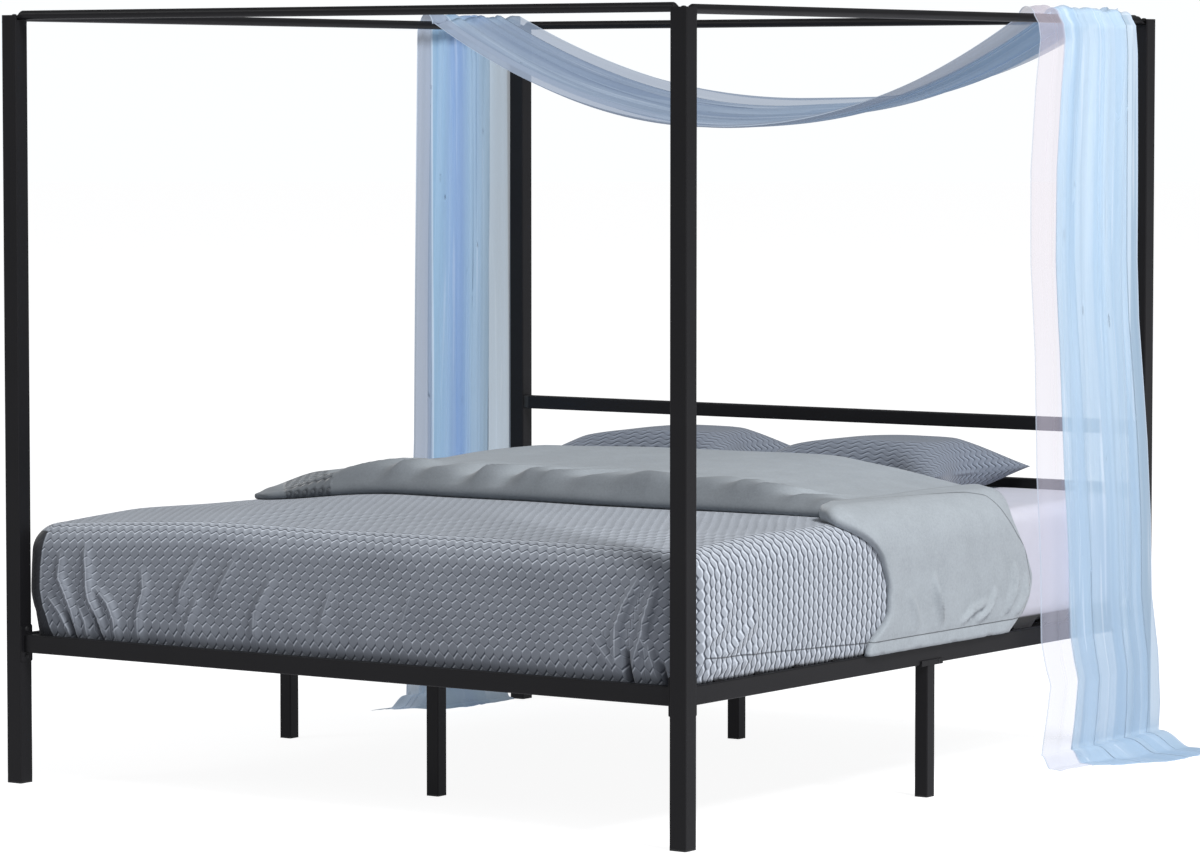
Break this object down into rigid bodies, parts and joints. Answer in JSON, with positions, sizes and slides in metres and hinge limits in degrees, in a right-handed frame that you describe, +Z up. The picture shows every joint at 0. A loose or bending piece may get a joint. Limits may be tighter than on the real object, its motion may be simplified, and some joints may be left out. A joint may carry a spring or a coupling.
{
  "type": "four poster canopy bed",
  "caption": "Black steel four poster bed, king size, with round canopy rails, two headboard bars, mattress, pale blue quilt, folded duvet, pillows and a sheer voile drape over the canopy",
  "frame": {"origin": "on the floor under the middle of the bed", "axes": "+Z up; +X to the right seen from the foot of the bed; +Y from the foot to the headboard"},
  "size_m": [2.22, 2.125, 1.8733],
  "materials": {
    "frame": "black powder coat, satin",
    "plastic": "black moulded plastic",
    "bolt": "black oxide",
    "sheet": "plain woven cotton",
    "quilt": "wave quilted microfibre",
    "duvet": "plain brushed microfibre, filled",
    "sham": "wave quilted microfibre, knife edge",
    "voile": "sheer voile, see-through"
  },
  "bodies": {
    "root": {"post_foot_right": "frame", "post_glide_foot_right": "plastic", "cap_block_foot_right": "plastic", "cap_bolt_foot_right": "bolt", "post_foot_left": "frame", "post_glide_foot_left": "plastic", "cap_block_foot_left": "plastic", "cap_bolt_foot_left": "bolt", "post_head_right": "frame", "post_glide_head_right": "plastic", "cap_block_head_right": "plastic", "cap_bolt_head_right": "bolt", "post_head_left": "frame", "post_glide_head_left": "plastic", "cap_block_head_left": "plastic", "cap_bolt_head_left": "bolt", "canopy_rail_foot": "frame", "canopy_rail_head": "frame", "canopy_rail_left": "frame", "canopy_rail_right": "frame", "foot_rail": "frame", "head_rail": "frame", "side_rail_left": "frame", "side_rail_right": "frame", "headboard_bar_upper": "frame", "headboard_bracket_upper_left": "plastic", "headboard_bracket_upper_right": "plastic", "headboard_bar_lower": "frame", "headboard_bracket_lower_left": "plastic", "headboard_bracket_lower_right": "plastic", "slat_01": "frame", "slat_02": "frame", "slat_03": "frame", "slat_04": "frame", "slat_05": "frame", "slat_06": "frame", "slat_07": "frame", "slat_08": "frame", "slat_09": "frame", "slat_10": "frame", "slat_11": "frame", "slat_12": "frame", "centre_beam": "frame", "leg_side_left": "frame", "leg_glide_side_left": "plastic", "leg_side_right": "frame", "leg_glide_side_right": "plastic", "leg_centre_foot": "frame", "leg_glide_centre_foot": "plastic", "leg_centre_head": "frame", "leg_glide_centre_head": "plastic", "mattress": "sheet", "quilt": "quilt", "duvet": "duvet", "pillow_left": "sham", "pillow_right": "sham", "drape_fall_left": "voile", "drape_swag": "voile", "drape_fall_right": "voile"}
  },
  "joints": []
}
